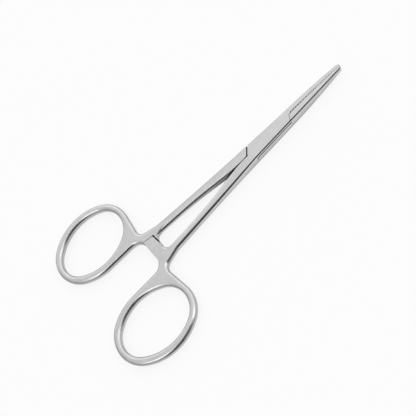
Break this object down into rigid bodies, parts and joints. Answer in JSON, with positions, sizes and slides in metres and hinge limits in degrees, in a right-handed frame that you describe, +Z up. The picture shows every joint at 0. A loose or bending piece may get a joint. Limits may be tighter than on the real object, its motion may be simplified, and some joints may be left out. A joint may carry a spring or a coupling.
{
  "type": "hemostat forceps",
  "caption": "Straight haemostat forceps with a box lock, fine serrated jaws, a ratchet between the shanks and oval finger rings, closed.",
  "frame": {"origin": "on the pivot axis at the flat underside of the box, the plane the instrument rests on", "axes": "+X along the jaws to the tip, +Y to the tongue half's finger ring, +Z up along the pivot axis"},
  "size_m": [0.125, 0.0662, 0.0044],
  "materials": {
    "satin_steel": "satin polished stainless steel",
    "pin_steel": "stainless steel pin, riveted and ground flush"
  },
  "bodies": {
    "box_body": {"box_half": "satin_steel", "pivot_pin": "pin_steel"},
    "tongue_body": {"tongue_half": "satin_steel"}
  },
  "joints": [
    {"name": "box_lock", "type": "hinge", "parent": "box_body", "child": "tongue_body", "pos_m": [0, 0, 0.0022], "axis": [0, 0, -1], "range_deg": [0, 60]}
  ]
}
